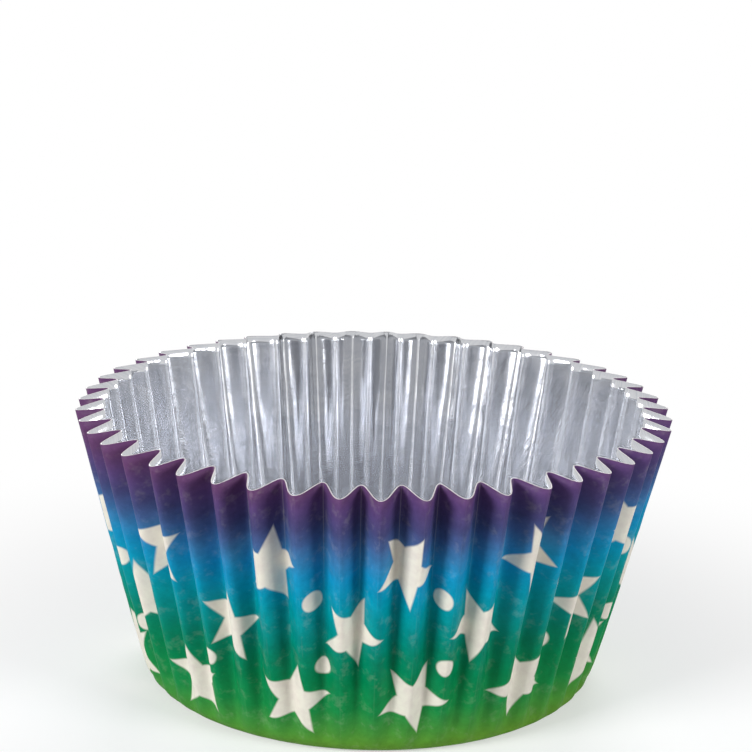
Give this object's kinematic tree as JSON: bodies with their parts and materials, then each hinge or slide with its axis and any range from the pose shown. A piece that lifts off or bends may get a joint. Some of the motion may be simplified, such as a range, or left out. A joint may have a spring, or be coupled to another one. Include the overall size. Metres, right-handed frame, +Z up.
{
  "type": "cupcake liner",
  "caption": "Round fluted baking cup of foil-backed paper with a flat base and a flared, finely pleated wall, open at the top, that holds batter in a muffin tin.",
  "frame": {"origin": "centre of the flat base, on its underside", "axes": "+Z up along the cup's axis, out of its mouth; one ridge of the wall points along -Y, the side that the picture is taken from"},
  "size_m": [0.0708, 0.0707, 0.0337],
  "materials": {
    "printed_paper": "satin"
  },
  "bodies": {
    "root": {"liner": "printed_paper"}
  },
  "joints": []
}
